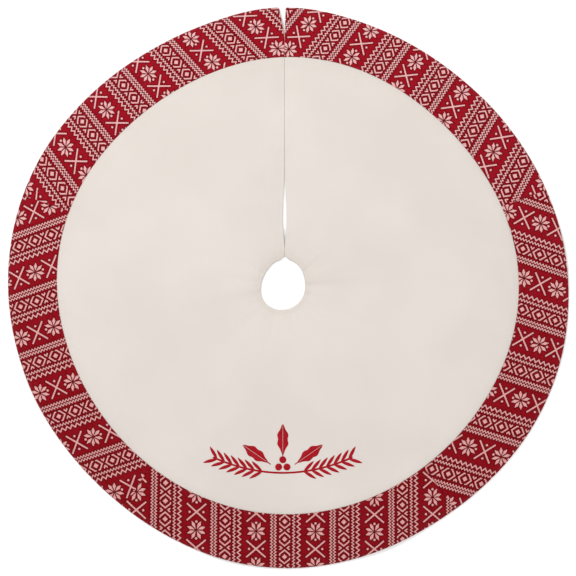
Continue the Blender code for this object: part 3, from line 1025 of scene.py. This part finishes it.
def thread_faces(count):
    """The faces of count threads, each a tube with closed ends."""
    size = THREAD_STEPS * THREAD_SIDES
    return [face for n in range(count) for face in closed_tube(THREAD_STEPS, THREAD_SIDES, n * size)]


def gathered(batches):
    """Several batches of threads as one."""
    points, faces, flat, count = [], [], [], 0
    for some_points, some_faces, some_flat in batches:
        points.append(some_points)
        flat.append(some_flat)
        faces += [tuple(int(i) + count for i in face) for face in some_faces]
        count += len(some_points)
    return np.concatenate(points), faces, np.concatenate(flat)


def turned(length, degrees):
    return np.array([length * math.cos(math.radians(degrees)), length * math.sin(math.radians(degrees))])


def satin_pad(base, direction, length, half_width, slant, rise):
    """Threads across a shape that runs from base in a direction. half_width(shares) gives both its sides."""
    count = max(4, round(length / THREAD_PITCH))
    share = (np.arange(count) + 0.5) / count
    half = half_width(share)
    along = turned(1.0, direction)
    across = turned(1.0, direction + 90)
    lean = half * math.tan(math.radians(slant))
    middle = base + share[:, None] * length * along
    left = middle + half[:, None] * across + lean[:, None] * along
    right = middle - half[:, None] * across - lean[:, None] * along
    keep = half > 0.0004
    return laid_threads(left[keep], right[keep], rise * np.minimum(1, half[keep] / 0.002))


# The embroidery: a fir branch with three holly leaves and three berries over its middle, as in the CAD.
BRANCH_CENTRE = np.array([-0.012, -0.402])
BRANCH_HALF_SPAN = 0.152
BRANCH_RISE = 0.034
BRANCH_WIDTH = 0.004
NEEDLES_A_SIDE = 7
NEEDLE_LENGTH = 0.030
NEEDLE_WIDTH = 0.007
NEEDLE_LEAN = 38.0
FIRST_NEEDLE_SHARE = 0.30
LAST_NEEDLE_SHARE = 0.94
LEAF_LENGTH = 0.068
LEAF_WIDTH = 0.027
LEAF_LOBES = 3
LEAF_LOBE_DEPTH = 0.22
LEAF_STAND_OFF = 0.039
LEAVES = {"left": 145.0, "middle": 90.0, "right": 35.0}
BERRY_RADIUS = 0.0075
BERRY_SPREAD = 0.0105
BERRY_LIFT = 0.018
BERRIES = {"left": 210.0, "middle": 90.0, "right": 330.0}


def branch_spot(share):
    return BRANCH_CENTRE + np.array([BRANCH_HALF_SPAN * share, BRANCH_RISE * share * share])


def branch_direction(share):
    return math.degrees(math.atan2(2 * BRANCH_RISE * share, BRANCH_HALF_SPAN))


def branch_threads():
    """Slanted stitches along the branch, and a satin-stitched needle at each of its places."""
    count = round(2 * BRANCH_HALF_SPAN / THREAD_PITCH)
    starts, ends = [], []
    for share in np.linspace(-0.995, 0.995, count):
        direction = branch_direction(share)
        reach = turned(BRANCH_WIDTH / 2 * 1.15, direction + 62)
        starts.append(branch_spot(share) - reach)
        ends.append(branch_spot(share) + reach)
    batches = [laid_threads(starts, ends, 0.0010)]
    outward = np.linspace(FIRST_NEEDLE_SHARE, LAST_NEEDLE_SHARE, NEEDLES_A_SIDE)
    for share in [*-outward, *outward]:
        for side in (-1, 1):
            lean = side * NEEDLE_LEAN if share > 0 else 180 - side * NEEDLE_LEAN
            direction = branch_direction(share) + lean
            base = branch_spot(share) + turned(0.0010, direction)
            shape = lambda s: NEEDLE_WIDTH / 2 * np.sin(np.pi * (0.10 + 0.88 * s)) ** 0.8
            batches.append(satin_pad(base, direction, NEEDLE_LENGTH, shape, side * 24, 0.0013))
    return gathered(batches)


def leaf_threads(angle):
    """A holly leaf in two halves, whose stitches slant back from its vein."""
    base = branch_spot(0.0) + turned(LEAF_STAND_OFF, angle)
    along = turned(1.0, angle)
    across = turned(1.0, angle + 90)
    count = round(LEAF_LENGTH / THREAD_PITCH)
    share = (np.arange(count) + 0.5) / count
    lobed = 1 - LEAF_LOBE_DEPTH * np.sin(np.pi * share * LEAF_LOBES) ** 2
    half = LEAF_WIDTH / 2 * np.sin(np.pi * share) * lobed
    keep = half > 0.0006
    batches = []
    for side in (-1, 1):
        vein = base + (share * LEAF_LENGTH - 0.0035)[:, None] * along + side * 0.0004 * across
        margin = base + (share * LEAF_LENGTH)[:, None] * along + (side * half)[:, None] * across
        batches.append(laid_threads(vein[keep], margin[keep], 0.0014 * np.minimum(1, half[keep] / 0.004)))
    stem = satin_pad(base - along * 0.007, angle, 0.012, lambda s: 0.0011 + 0 * s, 0.0, 0.0009)
    return gathered([*batches, stem])


def berry_threads(angle):
    """A round berry of threads side by side."""
    centre = branch_spot(0.0) + np.array([0.0, BERRY_LIFT]) + turned(BERRY_SPREAD, angle)
    shape = lambda s: BERRY_RADIUS * np.sqrt(np.clip(1 - (2 * s - 1) ** 2, 0, 1))
    direction = angle + 40
    start = centre - turned(BERRY_RADIUS, direction)
    return satin_pad(start, direction, 2 * BERRY_RADIUS, shape, 0.0, 0.0019)


def add_embroidery():
    made = [("branch", branch_threads())]
    made += [("leaf_" + name, leaf_threads(angle)) for name, angle in LEAVES.items()]
    made += [("berry_" + name, berry_threads(angle)) for name, angle in BERRIES.items()]
    for name, (points, faces, flat) in made:
        piece = finish_piece("stitched_" + name, points, faces, flat, "red_thread", ["embroidery_" + name])
        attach(piece, "main")


TOPSTITCH_PITCH = 0.0034
TOPSTITCH_LENGTH = 0.0027


def stitched_line(places):
    """Stitches end to end along a line of flat places."""
    places = np.asarray(places)
    steps = np.linalg.norm(np.diff(places, axis=0), axis=1)
    run = np.concatenate([[0], np.cumsum(steps)])
    at = np.arange(0, run[-1] - TOPSTITCH_LENGTH, TOPSTITCH_PITCH)
    ends_of = lambda d: np.stack([np.interp(d, run, places[:, 0]), np.interp(d, run, places[:, 1])], 1)
    return laid_threads(ends_of(at), ends_of(at + TOPSTITCH_LENGTH), 0.00035, 0.00028, sink=0.0004)


def hole_line(start, end):
    angles = np.linspace(start, end, 120)
    return np.stack(to_place(angles, hole_radius(angles) + TOPSTITCH_INSET), 1)


def slit_line(side):
    """From the hole to the border, beside one edge of the slit. side is -1 left, 1 right."""
    radius = np.linspace(hole_radius(SLIT + NOTCH_SPREAD) + TOPSTITCH_INSET, seam_radius(SLIT) - 0.004, 120)
    inset = TOPSTITCH_INSET + slit_gape(side < 0, radius)
    return np.stack([HOLE_X + side * inset, HOLE_Y + radius], 1)


def add_topstitching():
    lines = {
        "left": ("left_flap", [slit_line(-1), hole_line(SLIT + 2 * NOTCH_SPREAD, LEFT_SEAM)]),
        "right": ("right_flap", [slit_line(1), hole_line(RIGHT_SEAM, SLIT_AGAIN - 2 * NOTCH_SPREAD)]),
        "main": ("main", [hole_line(LEFT_SEAM, RIGHT_SEAM)]),
    }
    for name, (body, routes) in lines.items():
        points, faces, flat = gathered([stitched_line(route) for route in routes])
        node = "topstitching_" + name
        piece = finish_piece("stitches_" + name, points, faces, flat, "cream_thread", [node])
        put_on(piece, body)


# ---------------------------------------------------------------- closures and backing


def rounded_outline(low, high, radius, steps=6):
    corners = ((high[0] - radius, high[1] - radius), (low[0] + radius, high[1] - radius))
    corners += ((low[0] + radius, low[1] + radius), (high[0] - radius, low[1] + radius))
    outline = []
    for corner, centre in enumerate(corners):
        for turn in np.linspace(corner * 90, corner * 90 + 90, steps):
            outline.append(np.array(centre) + turned(radius, turn))
    return np.array(outline)


def soft_plate(outline, low, high, edge):
    """A flat piece with soft edges: rings that step in towards its top and its underside, closed by fans."""
    middle = outline.mean(0)
    reach = np.linalg.norm(outline - middle, axis=1)[:, None]
    thick = high - low
    profile = [(1.0, 0.0), (0.30, 0.06), (0.0, 0.30), (0.0, 0.70), (0.30, 0.94), (1.0, 1.0)]
    points, count = [], len(outline)
    for inward, lift in profile:
        ring = middle + (outline - middle) * (1 - inward * edge / reach)
        points += [(x, y, low + thick * lift) for x, y in ring]
    faces = tube_sides(len(profile), count)
    points += [(*middle, low), (*middle, high)]
    top = (len(profile) - 1) * count
    for i in range(count):
        j = (i + 1) % count
        faces.append((j, i, len(points) - 2))
        faces.append((top + i, top + j, len(points) - 1))
    points = np.array(points)
    return points, faces, points[:, :2]


def bent_wires(places, height, shape, thickness):
    """A field of little wires, each through the (across, up) places of a shape, at each flat place."""
    ring = np.array([(1, 0), (0, 1), (-1, 0), (0, -1)]) * thickness
    batches = []
    for x, y in places:
        points = [(x + a + dx, y + dy, height + up) for a, up in shape for dx, dy in ring]
        points = np.array(points)
        batches.append((points, closed_tube(len(shape), len(ring)), points[:, :2]))
    return gathered(batches)


def field_of(low, high, margin, pitch):
    """Flat places in rows inside a rectangle, every other row set over by half a pitch."""
    rows = np.arange(low[1] + margin, high[1] - margin, pitch)
    return [
        (x, y)
        for number, y in enumerate(rows)
        for x in np.arange(low[0] + margin + pitch / 2 * (number % 2), high[0] - margin, pitch)
    ]


CORNER_RADIUS = 0.004
WIRES_MARGIN = 0.0022
WIRES_PITCH = 0.0013
WIRE_THICKNESS = 0.00011
BOX_STITCH_PITCH = 0.0026
BOX_STITCH_LENGTH = 0.0021
BOX_STITCH_HALF_WIDTH = 0.00022
HOOK_SHAPE = [(0.0, 0.0), (0.0, -0.00030), (0.00020, -0.00044), (0.00036, -0.00030)]
LOOP_SHAPE = [(-0.00035, 0.0), (-0.00030, -0.00020), (0.0, -0.00030), (0.00030, -0.00020), (0.00035, 0.0)]


def add_strip(name, node, body, shape):
    """A tape with a field of hooks or loops on its underside."""
    low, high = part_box(node)
    bare = low.z + 0.00045
    tape = soft_plate(rounded_outline(low, high, CORNER_RADIUS), bare, high.z, 0.0003)
    places = field_of(low, high, WIRES_MARGIN, WIRES_PITCH)
    field = bent_wires(places, bare, shape, WIRE_THICKNESS)
    points, faces, flat = gathered([tape, field])
    piece = finish_piece(name, points, faces, flat, "closure_tape", [node])
    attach(piece, body)


def box_of_stitches(low, high, inset, top):
    """A sewn square with a cross in it, on a tab's top."""
    near, far = (low.x + inset, low.y + inset), (high.x - inset, high.y - inset)
    corners = [near, (far[0], near[1]), far, (near[0], far[1])]
    runs = [(corners[i], corners[(i + 1) % 4]) for i in range(4)]
    runs += [(corners[0], corners[2]), (corners[1], corners[3])]
    batches = []
    for start, end in runs:
        start, end = np.array(start), np.array(end)
        length = np.linalg.norm(end - start)
        along = (end - start) / length
        side = np.array([-along[1], along[0]]) * BOX_STITCH_HALF_WIDTH
        for at in np.arange(0.0003, length - 0.002, BOX_STITCH_PITCH):
            a, b = start + along * at, start + along * (at + BOX_STITCH_LENGTH)
            ring = [a - side, b - side, b + side, a + side]
            points = np.array([(x, y, top + rise) for rise in (-0.0001, 0.00012) for x, y in ring])
            faces = [(3, 2, 1, 0), (4, 5, 6, 7), (0, 1, 5, 4), (1, 2, 6, 5), (2, 3, 7, 6), (3, 0, 4, 7)]
            batches.append((points, faces, points[:, :2]))
    return gathered(batches)


def add_closures():
    for name in ("rim", "middle", "hole"):
        node, body = "closure_tab_" + name, "tab_" + name
        low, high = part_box(node)
        tab = soft_plate(rounded_outline(low, high, CORNER_RADIUS), low.z, high.z, 0.0005)
        points, faces, flat = gathered([tab, box_of_stitches(low, high, 0.003, high.z)])
        piece = finish_piece("webbing_tab_" + name, points, faces, flat, "tab_cloth", [node])
        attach(piece, body)
        add_strip("hook_tape_" + name, "hook_strip_" + name, body, HOOK_SHAPE)
        add_strip("loop_tape_" + name, "loop_strip_" + name, "left_flap", LOOP_SHAPE)


def add_backing():
    """The felt behind the embroidery. It follows the drape, a little wavy at its cut edge."""
    low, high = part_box("embroidery_backing")
    turns = np.linspace(0, math.tau, 120, endpoint=False)
    half = (high - low) / 2
    wobble = 1 - 0.004 * (1 + np.sin(turns * 17))
    outline = np.stack([np.cos(turns) * half.x * wobble, np.sin(turns) * half.y * wobble], 1)
    outline = outline + np.array([low.x + half.x, low.y + half.y])
    rings = [(0.0, low.z), (0.35, low.z), (0.7, low.z), (0.97, low.z), (1.0, (low.z + high.z) / 2)]
    rings += [(0.97, high.z), (0.7, high.z), (0.35, high.z), (0.0, high.z)]
    middle = outline.mean(0)
    points = []
    for share, z in rings:
        flat = middle + (outline - middle) * max(share, 0.01)
        points += [(x, y, z + drape(*to_polar(x, y))) for x, y in flat]
    faces = closed_tube(len(rings), len(outline))
    points = np.array(points, float)
    piece = finish_piece("felt_backing", points, faces, points[:, :2], "backing_felt", ["embroidery_backing"])
    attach(piece, "main")


# ---------------------------------------------------------------- the room


def floor_material():
    material = bpy.data.materials.new("pale_floor")
    material.use_nodes = True
    shader = material.node_tree.nodes["Principled BSDF"]
    shader.inputs["Base Color"].default_value = (0.93, 0.93, 0.93, 1.0)
    shader.inputs["Roughness"].default_value = 0.9
    shader.inputs["Specular IOR Level"].default_value = 0.0
    shader.inputs["Emission Color"].default_value = (1.0, 1.0, 1.0, 1.0)
    shader.inputs["Emission Strength"].default_value = 0.13
    return material


FLOOR_REACH = 40


def add_floor():
    reach = FLOOR_REACH
    corners = [(-reach, -reach, 0), (reach, -reach, 0), (reach, reach, 0), (-reach, reach, 0)]
    floor = new_object("floor", corners, [(0, 1, 2, 3)])
    floor.data.materials.append(floor_material())


def add_light(name, place, size, power):
    """A soft area light that faces the skirt's middle."""
    light = bpy.data.lights.new(name, "AREA")
    light.shape = "DISK"
    light.size = size
    light.energy = power
    lamp = bpy.data.objects.new(name, light)
    lamp.location = place
    lamp.rotation_euler = (-lamp.location).to_track_quat("-Z", "Y").to_euler()
    bpy.context.scene.collection.objects.link(lamp)


VIEW_WIDTH = 1.254  # how much of the floor the picture is wide
CAMERA_HEIGHT = 3.4
SENSOR_WIDTH = 36.0


def add_camera():
    camera = bpy.data.cameras.new("camera")
    camera.sensor_width = SENSOR_WIDTH
    camera.lens = SENSOR_WIDTH * CAMERA_HEIGHT / VIEW_WIDTH
    holder = bpy.data.objects.new("camera", camera)
    holder.location = (-0.0007, -0.0004, CAMERA_HEIGHT)
    bpy.context.scene.collection.objects.link(holder)
    bpy.context.scene.camera = holder


def add_room():
    add_floor()
    add_light("key", (-1.6, 1.9, 2.6), 1.6, 62)
    add_light("fill", (2.2, 0.6, 2.8), 2.4, 26)
    add_light("front", (-0.4, -2.4, 2.6), 2.4, 20)
    world = bpy.data.worlds.new("studio")
    world.use_nodes = True
    world.node_tree.nodes["Background"].inputs["Color"].default_value = (1.0, 1.0, 1.0, 1.0)
    world.node_tree.nodes["Background"].inputs["Strength"].default_value = 0.55
    bpy.context.scene.world = world
    bpy.context.scene.view_settings.view_transform = "Standard"


add_room()
add_camera()
add_centres_and_linings()
add_borders()
add_backing()
add_embroidery()
add_topstitching()
add_closures()
